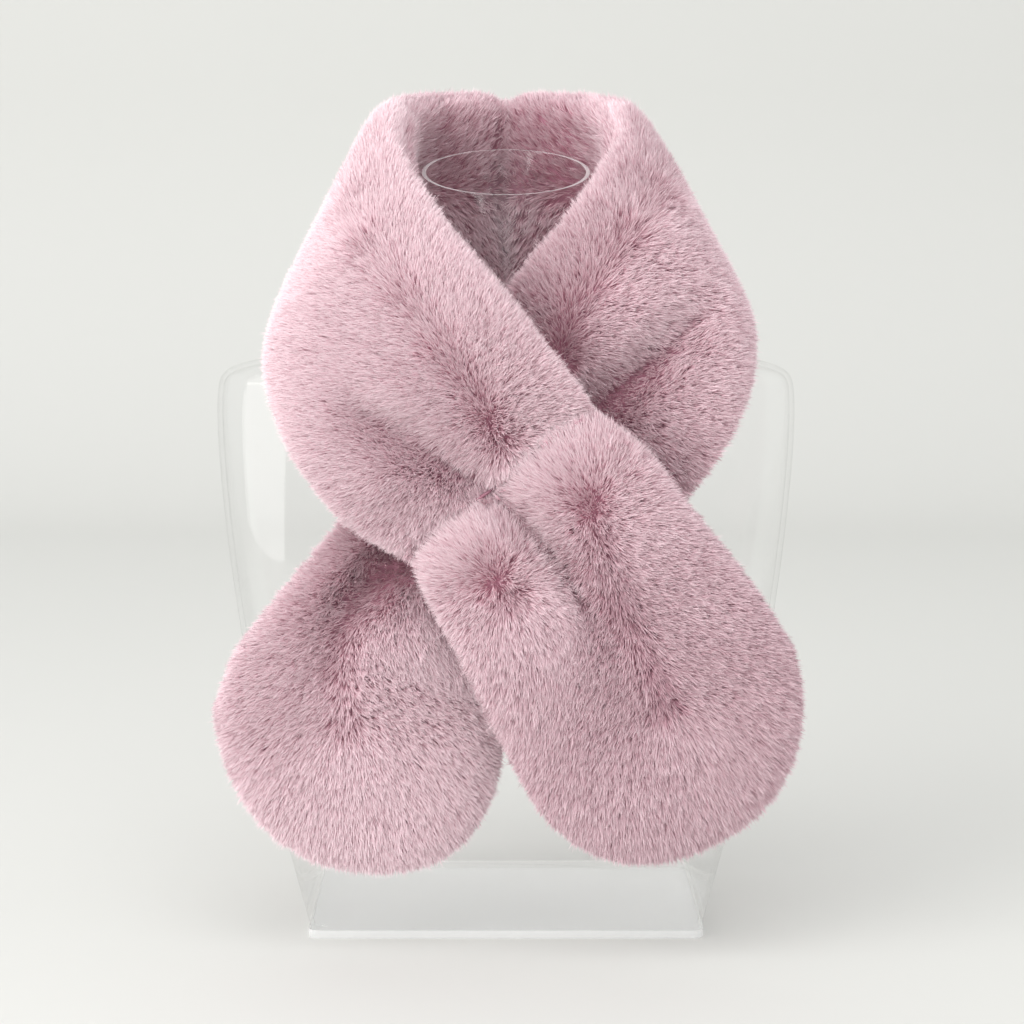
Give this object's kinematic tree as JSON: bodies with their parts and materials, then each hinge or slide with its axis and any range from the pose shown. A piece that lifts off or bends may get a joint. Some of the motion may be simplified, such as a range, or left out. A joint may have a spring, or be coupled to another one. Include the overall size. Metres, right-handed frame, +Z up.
{
  "type": "fur collar wrap on clear bust stand",
  "caption": "Pull-through plush fur collar wrap, crossed at the front with a rounded slotted end over a pulled-through end, on a clear hollow bust stand with an open neck.",
  "frame": {"origin": "middle of the underside of the whole object's box, on the floor under the base plate", "axes": "+Z up, -Y the way the bust's chest and the wrap's crossing face, +X the viewer's right as seen from the front"},
  "size_m": [0.345, 0.23, 0.4975],
  "materials": {
    "fur": "long soft dusty-pink plush pile",
    "backing": "plain short pile, pink",
    "acrylic": "clear polished acrylic"
  },
  "bodies": {
    "root": {"wrap_over_half": "fur", "wrap_slotted_end": "fur", "wrap_under_half": "fur", "wrap_pulled_end": "fur", "wrap_keeper": "backing", "stand_base": "acrylic", "stand_bust": "acrylic"}
  },
  "joints": []
}
